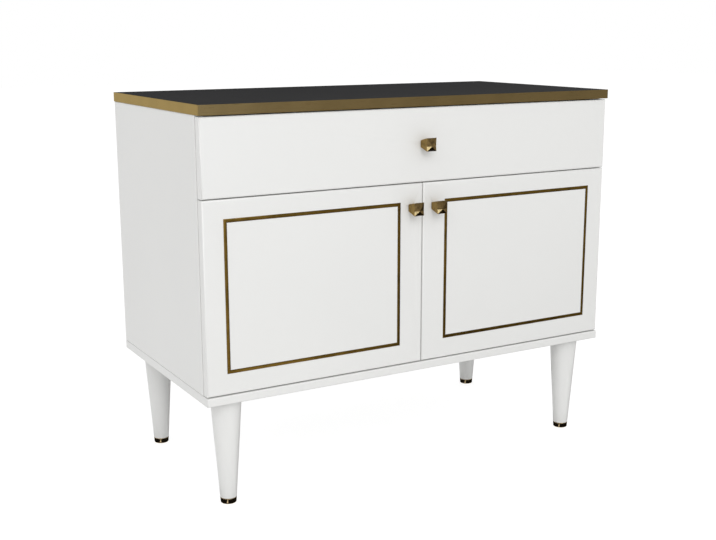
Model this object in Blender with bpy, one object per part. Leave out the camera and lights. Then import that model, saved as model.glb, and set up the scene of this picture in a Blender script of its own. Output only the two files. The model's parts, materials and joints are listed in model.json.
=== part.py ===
"""Low cabinet with one wide drawer over two doors, on four tapered legs.

Metres, +Z up. The front faces -Y and the width runs along X. The origin is on the floor,
under the middle of the whole cabinet with its knobs. side is -1 for left and +1 for right.
"""
import math

import bmesh
import bpy
from mathutils import Matrix, Vector

# Overall sizes
WIDTH = 0.900                  # base board and top board, without the edge band
DEPTH = 0.445                  # base board and top board, front to back
LEG_HEIGHT = 0.2045            # floor to the base board
DOOR_HEIGHT = 0.3506
DRAWER_FRONT_HEIGHT = 0.1398
BOARD = 0.018                  # sides and divider
BASE_BOARD = 0.016
FRONT_BOARD = 0.018            # doors and drawer front
TOP_THICKNESS = 0.018          # top board with its sheet
TOP_SHEET = 0.0012
BAND = 0.0008                  # gold band on the top's front and ends
SHELF_BOARD = 0.016
BACK_BOARD = 0.003
DRAWER_BOARD = 0.015           # sides, back and inner front of the drawer box
DRAWER_BOTTOM = 0.003

# Gaps and clearances
TOUCH = 0.0003                 # between pieces that rest on each other
FRONT_GAP = 0.0018             # between fronts, and from the doors to the base board
TOP_GAP = 0.0025               # over the drawer front
BUMP_GAP = 0.002               # behind the doors and the drawer front
SIDE_INSET = 0.0008            # from the cabinet's side to the edge of a front
FRONT_RECESS = 0.0015          # fronts behind the base board's front edge
SHELF_PLAY = 0.001             # from the shelf's end to a side
SHELF_REAR_PLAY = 0.002        # from the shelf to the back
HOLE_PLAY = 0.0005             # round a pin in its hole, and at a sheet's edge in its groove

# Edges
BOARD_EDGE = 0.0008            # softened edge of a board
FRONT_EDGE_RADIUS = 0.0035     # soft front edge of the doors and drawer front
BASE_EDGE_RADIUS = 0.002       # soft front edge of the base board
FRONT_EDGE_STEPS = 4

# Grooves for the thin back and the drawer's thin bottom
GROOVE_DEPTH = 0.006
BACK_INSET = 0.012             # from the sides' rear edge to the back

# Shelf
SHELF_RISE = 0.165             # base board to the shelf's underside
SHELF_SETBACK = 0.030          # from the sides' front edge
PIN_RADIUS = 0.0025
PIN_COLLAR_RADIUS = 0.004
PIN_IN_BOARD = 0.008
PIN_OUT = 0.009
PIN_SETBACK = 0.055            # from the shelf's front and rear edges

# Legs and ferrules
LEG_TOP_RADIUS = 0.029
LEG_FOOT_RADIUS = 0.0146
LEG_INSET_X = 0.053            # leg axis from the cabinet's side
LEG_INSET_Y = 0.0445           # leg axis from the front and rear edge
LEG_TOP_EDGE = 0.001
LEG_SIDES = 32
TENON_RADIUS = 0.010           # round tenon glued in the base board
TENON_LENGTH = 0.012
FERRULE_HEIGHT = 0.011
FERRULE_WALL = 0.0012
FERRULE_FLOOR = 0.0015
FERRULE_EDGE = 0.0012

# Drawer box
DRAWER_REAR_ROOM = 0.030       # from the drawer's back to the cabinet's back
DRAWER_BOX_HEIGHT = 0.100
DRAWER_BOX_RISE = 0.013        # over the divider
DRAWER_BOTTOM_RISE = 0.010     # groove over the box's lower edge

# Ball-bearing slides
SLIDE_SPACE = 0.0127           # from a cabinet side to the drawer box
SLIDE_LENGTH = 0.350
SLIDE_SETBACK = 0.002          # from the sides' front edge
SLIDE_RISE = 0.037             # slide's middle over the box's lower edge
SLIDE_SHEET = 0.0012
SLIDE_BEND = 0.0011
SLIDE_BEND_STEPS = 2
OUTER_HALF_HEIGHT = 0.0225
OUTER_REACH = 0.0095           # flange tips from the cabinet side
OUTER_LIP = 0.0046
MIDDLE_HALF_HEIGHT = 0.0174
MIDDLE_START = 0.0036          # web from the cabinet side
MIDDLE_REACH = 0.0110
MIDDLE_LIP = 0.0032
INNER_HALF_HEIGHT = 0.0130
INNER_START = 0.0062           # flange tips from the cabinet side
CAGE_SHEET = 0.0005
CAGE_LENGTH = 0.110
CAGE_SETBACK = 0.020           # from the end of the middle member
OUTER_CAGE_START = 0.0026
OUTER_CAGE_TIP = 0.0076
OUTER_BALL_PLACE = 0.0055      # ball row from the cabinet side
INNER_CAGE_START = 0.0055
INNER_CAGE_TIP = 0.0092
INNER_BALL_PLACE = 0.0076
BALLS_IN_ROW = 4
SLIDE_SCREWS = (0.030, 0.175, 0.320)   # from the slide's front end
SLIDE_SCREW_RADIUS = 0.0022

# Door inlays: a gold frame pressed into a routed groove
INLAY_OUTER_MARGIN = 0.0387    # from the door's hinge edge
INLAY_INNER_MARGIN = 0.0488    # from the edge where the doors meet
INLAY_TOP_MARGIN = 0.0339
INLAY_BOTTOM_MARGIN = 0.0382
INLAY_WIDTH = 0.007
INLAY_GROOVE_DEPTH = 0.0025
INLAY_CROWN = 0.0007           # rise of its rounded face
INLAY_SINK = 0.0004            # crown's edges below the door's face

# Knobs: flared from a small foot to a larger square face with a low four-sided point
KNOB_FOOT_HALF = (0.0071, 0.0065)
KNOB_HEAD_HALF = (0.0107, 0.0126)
KNOB_REACH = 0.027
KNOB_POINT = 0.0018
KNOB_VALLEY = 0.0009           # middle of each side of the face, behind its corners
KNOB_EDGE = 0.0003
KNOB_STUD_RADIUS = 0.002
KNOB_STUD_LENGTH = 0.012
DOOR_KNOB_INSET = 0.025        # from the edge where the doors meet
DOOR_KNOB_DROP = 0.0449        # from the door's top
DRAWER_KNOB_RISE = 0.0728      # from the drawer front's lower edge

# Concealed hinges
HINGE_FROM_END = 0.095         # cup axis from the door's upper and lower edges
CUP_FROM_EDGE = 0.0237         # cup axis from the door's hinge edge
CUP_RADIUS = 0.0172
CUP_DEPTH = 0.0122
CUP_WALL = 0.0012
CUP_RIM = 0.0012               # rim round the cup
CUP_BEAD = 0.0003              # rim over the flange
CUP_SIDES = 28
FLANGE_SHEET = 0.001
FLANGE_HALF_HEIGHT = 0.027
FLANGE_HALF_WIDTH = 0.0075
FLANGE_OFFSET = 0.0085         # flange's middle from the cup axis, away from the hinge edge
FLANGE_SCREW = 0.0225          # flange's screws above and below the cup axis
HINGE_SCREW_RADIUS = 0.0019
ARM_HALF_WIDTH = 0.0065
ARM_SHEET = 0.0012
ARM_OVER_SIDE = 0.0115         # arm's outer face from the cabinet side's inner face
ARM_FOOT_OVER_SIDE = 0.0035    # arm's flange edges from the cabinet side's inner face
ARM_NOSE_IN_CUP = 0.0040       # how far the nose dips into the cup
ARM_BEND = 0.012               # where the nose starts, behind the sides' front edge
ARM_REAR = 0.078               # arm's rear end from the sides' front edge
PLATE_SHEET = 0.002
PLATE_FROM_FRONT = 0.037       # plate's screw line from the sides' front edge
PLATE_FRONT = 0.012            # plate's ends before and behind the screw line
PLATE_REAR = 0.036
PLATE_HALF_WIDTH = 0.006
PLATE_WING_HALF_HEIGHT = 0.0235
PLATE_SCREW = 0.016            # plate's screws above and below its middle
DOOR_AXIS_FROM_EDGE = 0.0072   # hinge axis from the door's hinge edge
DOOR_AXIS_FROM_FACE = 0.0045   # hinge axis behind the door's front face

# Bumpers on the doors
BUMPER_RADIUS = 0.003
BUMPER_INSET = 0.012           # from the edge where the doors meet

# Levels worked out from the sizes
BASE_TOP = LEG_HEIGHT + BASE_BOARD
DOOR_LOW = BASE_TOP + FRONT_GAP
DOOR_HIGH = DOOR_LOW + DOOR_HEIGHT
DRAWER_FRONT_LOW = DOOR_HIGH + FRONT_GAP
DRAWER_FRONT_HIGH = DRAWER_FRONT_LOW + DRAWER_FRONT_HEIGHT
TOP_LOW = DRAWER_FRONT_HIGH + TOP_GAP
TOP_HIGH = TOP_LOW + TOP_THICKNESS
DIVIDER_LOW = DOOR_HIGH + FRONT_GAP / 2 - BOARD / 2
DIVIDER_HIGH = DIVIDER_LOW + BOARD
SHELF_LOW = BASE_TOP + SHELF_RISE
PIN_LEVEL = SHELF_LOW - TOUCH - PIN_COLLAR_RADIUS
BOX_LOW = DIVIDER_HIGH + DRAWER_BOX_RISE
BOX_HIGH = BOX_LOW + DRAWER_BOX_HEIGHT
SLIDE_LEVEL = BOX_LOW + SLIDE_RISE
DRAWER_KNOB_LEVEL = DRAWER_FRONT_LOW + DRAWER_KNOB_RISE
DOOR_KNOB_LEVEL = DOOR_HIGH - DOOR_KNOB_DROP
HINGE_LEVELS = {"lower": DOOR_LOW + HINGE_FROM_END, "upper": DOOR_HIGH - HINGE_FROM_END}

# Places across the width, from the middle
HALF = WIDTH / 2
INNER = HALF - BOARD
FRONT_HALF = HALF - SIDE_INSET
BOX_HALF = INNER - SLIDE_SPACE
DOOR_KNOB_PLACE = FRONT_GAP / 2 + DOOR_KNOB_INSET

# Places front to back. The knobs are the foremost points, the boards the rearmost.
REACH_AHEAD = KNOB_REACH + KNOB_POINT + TOUCH - FRONT_RECESS
BOARD_MIDDLE = REACH_AHEAD / 2
FRONT_EDGE = BOARD_MIDDLE - DEPTH / 2
REAR_EDGE = BOARD_MIDDLE + DEPTH / 2
FACE = FRONT_EDGE + FRONT_RECESS
FRONT_BACK = FACE + FRONT_BOARD
SIDE_FRONT = FRONT_BACK + BUMP_GAP
BACK_REAR = REAR_EDGE - BACK_INSET
BACK_FRONT = BACK_REAR - BACK_BOARD
BOX_FRONT = FRONT_BACK + TOUCH
BOX_REAR = BACK_FRONT - DRAWER_REAR_ROOM
SLIDE_FRONT = SIDE_FRONT + SLIDE_SETBACK
SLIDE_REAR = SLIDE_FRONT + SLIDE_LENGTH
SHELF_FRONT = SIDE_FRONT + SHELF_SETBACK
SHELF_REAR = BACK_FRONT - SHELF_REAR_PLAY
PIN_PLACES = {"front": SHELF_FRONT + PIN_SETBACK, "rear": SHELF_REAR - PIN_SETBACK}
LEG_PLACES = {"front": FRONT_EDGE + LEG_INSET_Y, "rear": REAR_EDGE - LEG_INSET_Y}
DOOR_AXIS_X = FRONT_HALF - DOOR_AXIS_FROM_EDGE
DOOR_AXIS_Y = FACE + DOOR_AXIS_FROM_FACE

SIDES = {"left": -1, "right": 1}

# Finishes: base colour, roughness, metallic
FINISHES = {
    "white_lacquer": ((0.80, 0.80, 0.785), 0.35, 0.0),
    "white_melamine": ((0.78, 0.78, 0.765), 0.5, 0.0),
    "black_laminate": ((0.033, 0.033, 0.034), 0.4, 0.0),
    "gold_band": ((0.23, 0.155, 0.06), 0.4, 0.6),
    "gold_inlay": ((0.16, 0.10, 0.03), 0.4, 0.7),
    "antique_brass": ((0.22, 0.15, 0.055), 0.35, 0.9),
    "dark_brass": ((0.05, 0.03, 0.012), 0.3, 0.9),
    "zinc_steel": ((0.55, 0.56, 0.58), 0.35, 1.0),
    "nickel_steel": ((0.62, 0.60, 0.57), 0.25, 1.0),
    "clear_rubber": ((0.75, 0.76, 0.78), 0.3, 0.0),
}
SMOOTH_ANGLE = math.radians(32)
FACET_ANGLE = math.radians(5)
HOLE_SIDES = 10


# Objects and materials

def new_material(name, finish):
    """One Principled material for one piece."""
    colour, roughness, metallic = FINISHES[finish]
    material = bpy.data.materials.new(name)
    material.use_nodes = True
    shader = material.node_tree.nodes["Principled BSDF"]
    shader.inputs["Base Color"].default_value = (*colour, 1.0)
    shader.inputs["Roughness"].default_value = roughness
    shader.inputs["Metallic"].default_value = metallic
    material.diffuse_color = (*colour, 1.0)
    return material


def place_mesh(name, shape, origin, carrier):
    """Makes an object of a shape given in world coordinates, with its own origin."""
    bmesh.ops.recalc_face_normals(shape, faces=shape.faces)
    bmesh.ops.translate(shape, vec=-Vector(origin), verts=shape.verts)
    mesh = bpy.data.meshes.new(name)
    shape.to_mesh(mesh)
    shape.free()
    obj = bpy.data.objects.new(name, mesh)
    bpy.context.scene.collection.objects.link(obj)
    obj.location = origin
    if carrier:
        obj.parent = carrier
        obj.location = Vector(origin) - carrier.location
    return obj


def piece(name, shape, finish, origin, carrier=None, joins=(), cuts=(), sharp=SMOOTH_ANGLE):
    """Makes one named piece. joins and cuts are closed shapes, added and then taken away."""
    obj = place_mesh(name, shape, origin, carrier)
    obj.data.materials.append(new_material(name, finish))
    obj.data.shade_smooth()
    obj.data.set_sharp_from_angle(angle=sharp)
    steps = [("UNION", tool) for tool in joins] + [("DIFFERENCE", tool) for tool in cuts]
    for number, (operation, tool_shape) in enumerate(steps, 1):
        tool = place_mesh(f"{name}_tool_{number}", tool_shape, origin, carrier)
        tool.hide_render = True
        tool.display_type = "WIRE"
        boolean = obj.modifiers.new(f"{operation.lower()}_{number}", "BOOLEAN")
        boolean.operation = operation
        boolean.solver = "EXACT"
        boolean.object = tool


def axis_empty(name, place):
    """Marks the axis of a joint. The pieces that move with it are its children."""
    empty = bpy.data.objects.new(name, None)
    empty.empty_display_size = 0.05
    empty.location = place
    bpy.context.scene.collection.objects.link(empty)
    return empty


def middle(low, high):
    """Centre of a box."""
    return (Vector(low) + Vector(high)) / 2


# Shapes

def box_shape(low, high):
    """A box with sharp edges, used for cutters and thin sheets."""
    shape = bmesh.new()
    size = Vector(high) - Vector(low)
    place = Matrix.Translation(middle(low, high)) @ Matrix.Diagonal((*size, 1.0))
    bmesh.ops.create_cube(shape, size=1.0, matrix=place)
    return shape


def board_shape(low, high):
    """A board whose edges are all softened by a small flat."""
    shape = box_shape(low, high)
    bmesh.ops.bevel(shape, geom=shape.edges[:], offset=BOARD_EDGE, segments=1, affect="EDGES")
    return shape


def front_shape(low, high, radius=FRONT_EDGE_RADIUS):
    """A board in the cabinet's front: its four front edges are rounded, the rear ones softened."""
    shape = box_shape(low, high)
    ahead = [e for e in shape.edges if all(abs(v.co.y - low[1]) < TOUCH for v in e.verts)]
    bmesh.ops.bevel(shape, geom=ahead, offset=radius, segments=FRONT_EDGE_STEPS,
                    profile=0.5, affect="EDGES")
    behind = [e for e in shape.edges if all(abs(v.co.y - high[1]) < TOUCH for v in e.verts)]
    bmesh.ops.bevel(shape, geom=behind, offset=BOARD_EDGE, segments=1, affect="EDGES")
    return shape


def turned_shape(profile, foot, axis=(0, 0, 1), sides=16):
    """Turns a profile of (radius, height) points, from axis to axis, round a line from foot."""
    shape = bmesh.new()
    line = [shape.verts.new((radius, 0, height)) for radius, height in profile]
    edges = [shape.edges.new(pair) for pair in zip(line, line[1:])]
    bmesh.ops.spin(shape, geom=line + edges, cent=(0, 0, 0), axis=(0, 0, 1),
                   angle=math.tau, steps=sides, use_merge=True)
    bmesh.ops.remove_doubles(shape, verts=shape.verts, dist=0.000001)
    turn = Vector(axis).to_track_quat("Z", "Y").to_matrix().to_4x4()
    bmesh.ops.transform(shape, matrix=Matrix.Translation(foot) @ turn, verts=shape.verts)
    return shape


def rod_shape(start, end, radius, sides=12):
    """A round bar from start to end."""
    run = Vector(end) - Vector(start)
    profile = [(0, 0), (radius, 0), (radius, run.length), (0, run.length)]
    return turned_shape(profile, start, run, sides)


def extruded_shape(outline, place, start, end):
    """Extrudes a closed outline. place turns (a, b, distance along) into a point."""
    shape = bmesh.new()
    face = shape.faces.new([shape.verts.new(place(a, b, start)) for a, b in outline])
    grown = bmesh.ops.extrude_face_region(shape, geom=[face])["geom"]
    moved = [item for item in grown if isinstance(item, bmesh.types.BMVert)]
    along = Vector(place(0, 0, end)) - Vector(place(0, 0, start))
    bmesh.ops.translate(shape, vec=along, verts=moved)
    return shape


def rounded_path(corners, radius, steps):
    """Replaces each inner corner of an open path by an arc."""
    corners = [Vector(corner) for corner in corners]
    path = [corners[0]]
    for before, corner, after in zip(corners, corners[1:], corners[2:]):
        back = (before - corner).normalized()
        ahead = (after - corner).normalized()
        half_angle = back.angle(ahead) / 2
        centre = corner + (back + ahead).normalized() * radius / math.sin(half_angle)
        spoke = corner + back * radius / math.tan(half_angle) - centre
        side = back.x * ahead.y - back.y * ahead.x
        turn = math.copysign(math.pi - 2 * half_angle, -side)
        for step in range(steps + 1):
            path.append(centre + Matrix.Rotation(turn * step / steps, 2) @ spoke)
    path.append(corners[-1])
    return path


def sheet_outline(corners, thickness, bend, steps):
    """Outline of a bent sheet: its centre line with rounded bends, moved half a sheet each way."""
    line = rounded_path(corners, bend, steps)
    left, right = [], []
    for index, point in enumerate(line):
        back = point - line[index - 1] if index else line[1] - line[0]
        ahead = line[index + 1] - point if index + 1 < len(line) else back
        tangent = (back.normalized() + ahead.normalized()).normalized()
        reach = thickness / 2 / tangent.dot(ahead.normalized())
        normal = Vector((-tangent.y, tangent.x)) * reach
        left.append(point + normal)
        right.append(point - normal)
    return left + right[::-1]


def mitred_frame(low, high, section):
    """Sweeps a closed section round a rectangle in XZ, mitred at its corners.

    A section point is (distance in from the rectangle, y).
    """
    shape = bmesh.new()
    corners = ((low[0], low[1], 1, 1), (high[0], low[1], -1, 1),
               (high[0], high[1], -1, -1), (low[0], high[1], 1, -1))
    rings = [[shape.verts.new((x + inward * right, y, z + inward * up)) for inward, y in section]
             for x, z, right, up in corners]
    for ring, following in zip(rings, rings[1:] + rings[:1]):
        for here in range(len(section)):
            there = (here + 1) % len(section)
            shape.faces.new((ring[here], ring[there], following[there], following[here]))
    return shape


# Carcass

def base_board():
    """Full-width board under the sides, with a blind bore for each leg's tenon."""
    low = (-HALF, FRONT_EDGE, LEG_HEIGHT)
    high = (HALF, REAR_EDGE, BASE_TOP)
    bores = [rod_shape((side * (HALF - LEG_INSET_X), y, LEG_HEIGHT - BASE_BOARD),
                       (side * (HALF - LEG_INSET_X), y, LEG_HEIGHT + TENON_LENGTH + TOUCH),
                       TENON_RADIUS + TOUCH, LEG_SIDES)
             for side in SIDES.values() for y in LEG_PLACES.values()]
    piece("base_board", front_shape(low, high, BASE_EDGE_RADIUS), "white_lacquer",
          middle(low, high), cuts=[*bores, back_groove(2, BASE_TOP)])


def back_groove(axis, level):
    """Cutter for the back's groove, in the board whose face is at level along an axis."""
    low = [-INNER - GROOVE_DEPTH, BACK_FRONT - TOUCH, BASE_TOP - GROOVE_DEPTH]
    high = [INNER + GROOVE_DEPTH, BACK_REAR + TOUCH, TOP_LOW + GROOVE_DEPTH]
    low[axis] = level - GROOVE_DEPTH
    high[axis] = level + GROOVE_DEPTH
    return box_shape(low, high)


def side_panel(name, side):
    """Side board with its back groove and two shelf-pin holes."""
    near, far = sorted((side * INNER, side * HALF))
    low = (near, SIDE_FRONT, BASE_TOP + TOUCH)
    high = (far, REAR_EDGE, TOP_LOW - TOUCH)
    deep = side * (INNER + PIN_IN_BOARD + HOLE_PLAY)
    holes = [rod_shape((side * (INNER - BOARD), y, PIN_LEVEL), (deep, y, PIN_LEVEL),
                       PIN_RADIUS + HOLE_PLAY)
             for y in PIN_PLACES.values()]
    piece(f"side_panel_{name}", board_shape(low, high), "white_lacquer", middle(low, high),
          cuts=[*holes, back_groove(0, side * INNER)])


def divider_board():
    """Fixed board between the drawer and the doors."""
    low = (-INNER + TOUCH, SIDE_FRONT, DIVIDER_LOW)
    high = (INNER - TOUCH, BACK_FRONT - TOUCH, DIVIDER_HIGH)
    piece("divider_board", board_shape(low, high), "white_melamine", middle(low, high))


def back_panel():
    """Thin hardboard back, held in grooves on all four sides."""
    reach = GROOVE_DEPTH - HOLE_PLAY
    low = (-INNER - reach, BACK_FRONT, BASE_TOP - reach)
    high = (INNER + reach, BACK_REAR, TOP_LOW + reach)
    piece("back_panel", box_shape(low, high), "white_melamine", middle(low, high))


def shelf():
    """Loose shelf on four pins."""
    low = (-INNER + SHELF_PLAY, SHELF_FRONT, SHELF_LOW)
    high = (INNER - SHELF_PLAY, SHELF_REAR, SHELF_LOW + SHELF_BOARD)
    piece("shelf", board_shape(low, high), "white_melamine", middle(low, high))


def shelf_pin(name, side, y):
    """Turned pin with a collar that stands out of the side and carries the shelf."""
    profile = [(0, -PIN_IN_BOARD), (PIN_RADIUS, -PIN_IN_BOARD), (PIN_RADIUS, TOUCH),
               (PIN_COLLAR_RADIUS, TOUCH), (PIN_COLLAR_RADIUS, PIN_OUT), (0, PIN_OUT)]
    foot = (side * INNER, y, PIN_LEVEL)
    piece(f"shelf_pin_{name}", turned_shape(profile, foot, (-side, 0, 0)),
          "nickel_steel", foot)


# Top

def top_board():
    """Board under the black sheet, with the back's groove in its underside."""
    low = (-HALF, FRONT_EDGE, TOP_LOW)
    high = (HALF, REAR_EDGE, TOP_HIGH - TOP_SHEET - TOUCH)
    piece("top_board", box_shape(low, high), "white_melamine", middle(low, high),
          cuts=[back_groove(2, TOP_LOW)])


def top_sheet():
    """Black sheet bonded on the top board."""
    low = (-HALF, FRONT_EDGE, TOP_HIGH - TOP_SHEET)
    high = (HALF, REAR_EDGE, TOP_HIGH)
    piece("top_sheet", box_shape(low, high), "black_laminate", middle(low, high))


def edge_bands():
    """Gold strips on the top's front and both ends. The front one laps the ends of the others."""
    reach = HALF + TOUCH + BAND
    low = (-reach, FRONT_EDGE - TOUCH - BAND, TOP_LOW)
    high = (reach, FRONT_EDGE - TOUCH, TOP_HIGH)
    piece("edge_band_front", box_shape(low, high), "gold_band", middle(low, high))
    for name, side in SIDES.items():
        near, far = sorted((side * (HALF + TOUCH), side * reach))
        low, high = (near, FRONT_EDGE, TOP_LOW), (far, REAR_EDGE, TOP_HIGH)
        piece(f"edge_band_{name}", box_shape(low, high), "gold_band", middle(low, high))


# Legs

def leg_radius(height):
    """The leg is a straight cone from its foot to the base board."""
    return LEG_FOOT_RADIUS + (LEG_TOP_RADIUS - LEG_FOOT_RADIUS) * height / LEG_HEIGHT


def leg_profile():
    """Cone with a round tenon on top and a turned-down tip that fits the ferrule."""
    tip = LEG_FOOT_RADIUS - FERRULE_WALL - TOUCH
    shoulder = FERRULE_HEIGHT + TOUCH
    top = LEG_HEIGHT - TOUCH
    tenon_top = LEG_HEIGHT + TENON_LENGTH
    return [(0, FERRULE_FLOOR + TOUCH), (tip, FERRULE_FLOOR + TOUCH), (tip, shoulder),
            (leg_radius(shoulder), shoulder), (leg_radius(top), top - LEG_TOP_EDGE),
            (leg_radius(top) - LEG_TOP_EDGE, top), (TENON_RADIUS, top),
            (TENON_RADIUS, tenon_top), (0, tenon_top)]


def ferrule_profile():
    """Metal cap whose outside carries on the leg's cone."""
    bore = LEG_FOOT_RADIUS - FERRULE_WALL
    return [(0, FERRULE_FLOOR), (bore, FERRULE_FLOOR), (bore, FERRULE_HEIGHT),
            (leg_radius(FERRULE_HEIGHT), FERRULE_HEIGHT), (LEG_FOOT_RADIUS, FERRULE_EDGE),
            (LEG_FOOT_RADIUS - FERRULE_EDGE, 0), (0, 0)]


def leg(name, side, y):
    """A tapered leg and the ferrule on its tip."""
    foot = (side * (HALF - LEG_INSET_X), y, 0)
    piece(f"leg_{name}", turned_shape(leg_profile(), foot, sides=LEG_SIDES),
          "white_lacquer", foot)
    piece(f"ferrule_{name}", turned_shape(ferrule_profile(), foot, sides=LEG_SIDES),
          "dark_brass", foot)


# Drawer

def drawer(carrier):
    """Drawer front and box. The thin bottom runs in grooves and under the back."""
    groove_low = BOX_LOW + DRAWER_BOTTOM_RISE
    groove_high = groove_low + DRAWER_BOTTOM + 2 * TOUCH
    inside = BOX_HALF - DRAWER_BOARD
    inner_front = BOX_FRONT + DRAWER_BOARD
    reach = GROOVE_DEPTH - HOLE_PLAY

    def groove():
        return box_shape((-inside - GROOVE_DEPTH, inner_front - GROOVE_DEPTH, groove_low),
                         (inside + GROOVE_DEPTH, BOX_REAR + BOARD, groove_high))

    low = (-FRONT_HALF, FACE, DRAWER_FRONT_LOW)
    high = (FRONT_HALF, FRONT_BACK, DRAWER_FRONT_HIGH)
    piece("drawer_front", front_shape(low, high), "white_lacquer", middle(low, high), carrier,
          cuts=[stud_hole(0, DRAWER_KNOB_LEVEL)])

    low = (-inside + TOUCH, BOX_FRONT, BOX_LOW)
    high = (inside - TOUCH, inner_front, BOX_HIGH)
    piece("drawer_box_front", board_shape(low, high), "white_melamine", middle(low, high),
          carrier, cuts=[groove()])

    low = (-inside + TOUCH, BOX_REAR - DRAWER_BOARD, groove_high)
    high = (inside - TOUCH, BOX_REAR, BOX_HIGH)
    piece("drawer_back", board_shape(low, high), "white_melamine", middle(low, high), carrier)

    for name, side in SIDES.items():
        near, far = sorted((side * inside, side * BOX_HALF))
        low, high = (near, BOX_FRONT, BOX_LOW), (far, BOX_REAR, BOX_HIGH)
        piece(f"drawer_side_{name}", board_shape(low, high), "white_melamine",
              middle(low, high), carrier, cuts=[groove()])

    low = (-inside - reach, inner_front - reach, groove_low + TOUCH)
    high = (inside + reach, BOX_REAR - TOUCH, groove_low + TOUCH + DRAWER_BOTTOM)
    piece("drawer_bottom", box_shape(low, high), "white_melamine", middle(low, high), carrier)


# Slides. Their sections are drawn as (distance from the cabinet side, height).

def slide_place(side):
    """Turns a section point and a place along the slide into a point."""
    return lambda inward, up, y: (side * (INNER - inward), y, SLIDE_LEVEL + up)


def channel_path(web, tips, half_height, lip_end=None):
    """Centre line of a channel, from one flange tip round to the other."""
    lower = [(web, -half_height), (tips, -half_height)]
    upper = [(tips, half_height), (web, half_height)]
    if lip_end is not None:
        lower.append((tips, -lip_end))
        upper.insert(0, (tips, lip_end))
    return upper + lower


def slide_member(name, side, path, carrier=None, web=None):
    """One sheet-steel member, as long as the slide. Screw holes go through the web that is given."""
    place = slide_place(side)
    outline = sheet_outline(path, SLIDE_SHEET, SLIDE_BEND, SLIDE_BEND_STEPS)
    shape = extruded_shape(outline, place, SLIDE_FRONT, SLIDE_REAR)
    holes = []
    if web is not None:
        for distance in SLIDE_SCREWS:
            ends = [place(web + reach, 0, SLIDE_FRONT + distance)
                    for reach in (-SLIDE_SHEET, SLIDE_SHEET)]
            holes.append(rod_shape(*ends, SLIDE_SCREW_RADIUS, HOLE_SIDES))
    piece(name, shape, "zinc_steel", (side * INNER, SLIDE_FRONT, SLIDE_LEVEL), carrier, cuts=holes)


def slides(name, side, middle_carrier, drawer_carrier):
    """The three members of one slide. The outer and inner webs are screwed to the boards."""
    outer, inner = outer_path(), inner_path()
    slide_member(f"slide_outer_{name}", side, outer, web=outer[1][0])
    slide_member(f"slide_middle_{name}", side, middle_path(), middle_carrier)
    slide_member(f"slide_inner_{name}", side, inner, drawer_carrier, web=inner[1][0])


def outer_path():
    """Cabinet member: a lipped channel against the cabinet side."""
    skin = SLIDE_SHEET / 2
    return channel_path(TOUCH + skin, OUTER_REACH - skin, OUTER_HALF_HEIGHT - skin,
                        OUTER_HALF_HEIGHT - OUTER_LIP)


def middle_path():
    """Middle member: a lipped channel that runs inside the cabinet member."""
    skin = SLIDE_SHEET / 2
    return channel_path(MIDDLE_START + skin, MIDDLE_REACH - skin, MIDDLE_HALF_HEIGHT - skin,
                        MIDDLE_HALF_HEIGHT - MIDDLE_LIP)


def inner_path():
    """Drawer member: a plain channel on the drawer's side, open towards the cabinet side."""
    skin = SLIDE_SHEET / 2
    return channel_path(SLIDE_SPACE - TOUCH - skin, INNER_START, INNER_HALF_HEIGHT - skin)


def ball_cage(name, side, carrier, race, start, tip, ball_place, first):
    """Bent strip between two members, with a row of balls in both its edges.

    race holds the heights of the two flanges that the balls run between.
    """
    place = slide_place(side)
    level = sum(race) / 2
    radius = (race[0] - race[1]) / 2 - TOUCH
    outline = sheet_outline(channel_path(start, tip, level), CAGE_SHEET, CAGE_SHEET, 1)
    strip = extruded_shape(outline, place, first, first + CAGE_LENGTH)
    balls = bmesh.new()
    pitch = CAGE_LENGTH / BALLS_IN_ROW
    for number in range(BALLS_IN_ROW):
        for up in (-level, level):
            centre = place(ball_place, up, first + pitch * (number + 0.5))
            bmesh.ops.create_icosphere(balls, subdivisions=2, radius=radius,
                                       matrix=Matrix.Translation(centre))
    piece(name, strip, "nickel_steel", (side * INNER, first, SLIDE_LEVEL), carrier, joins=[balls])


def ball_cages(name, side, carrier):
    """The outer cage is near the rear of the middle member and the inner one near its front.

    There the members still overlap when the drawer is out.
    """
    ball_cage(f"ball_cage_outer_{name}", side, carrier,
              (OUTER_HALF_HEIGHT - SLIDE_SHEET, MIDDLE_HALF_HEIGHT),
              OUTER_CAGE_START, OUTER_CAGE_TIP, OUTER_BALL_PLACE,
              SLIDE_REAR - CAGE_SETBACK - CAGE_LENGTH)
    ball_cage(f"ball_cage_inner_{name}", side, carrier,
              (MIDDLE_HALF_HEIGHT - SLIDE_SHEET, INNER_HALF_HEIGHT),
              INNER_CAGE_START, INNER_CAGE_TIP, INNER_BALL_PLACE, SLIDE_FRONT + CAGE_SETBACK)


# Knobs

def stud_hole(x, level):
    """Cutter for a knob's stud, blind in a front."""
    deep = FACE - TOUCH + KNOB_STUD_LENGTH + HOLE_PLAY
    return rod_shape((x, FACE - BOARD, level), (x, deep, level), KNOB_STUD_RADIUS + TOUCH)


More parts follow.
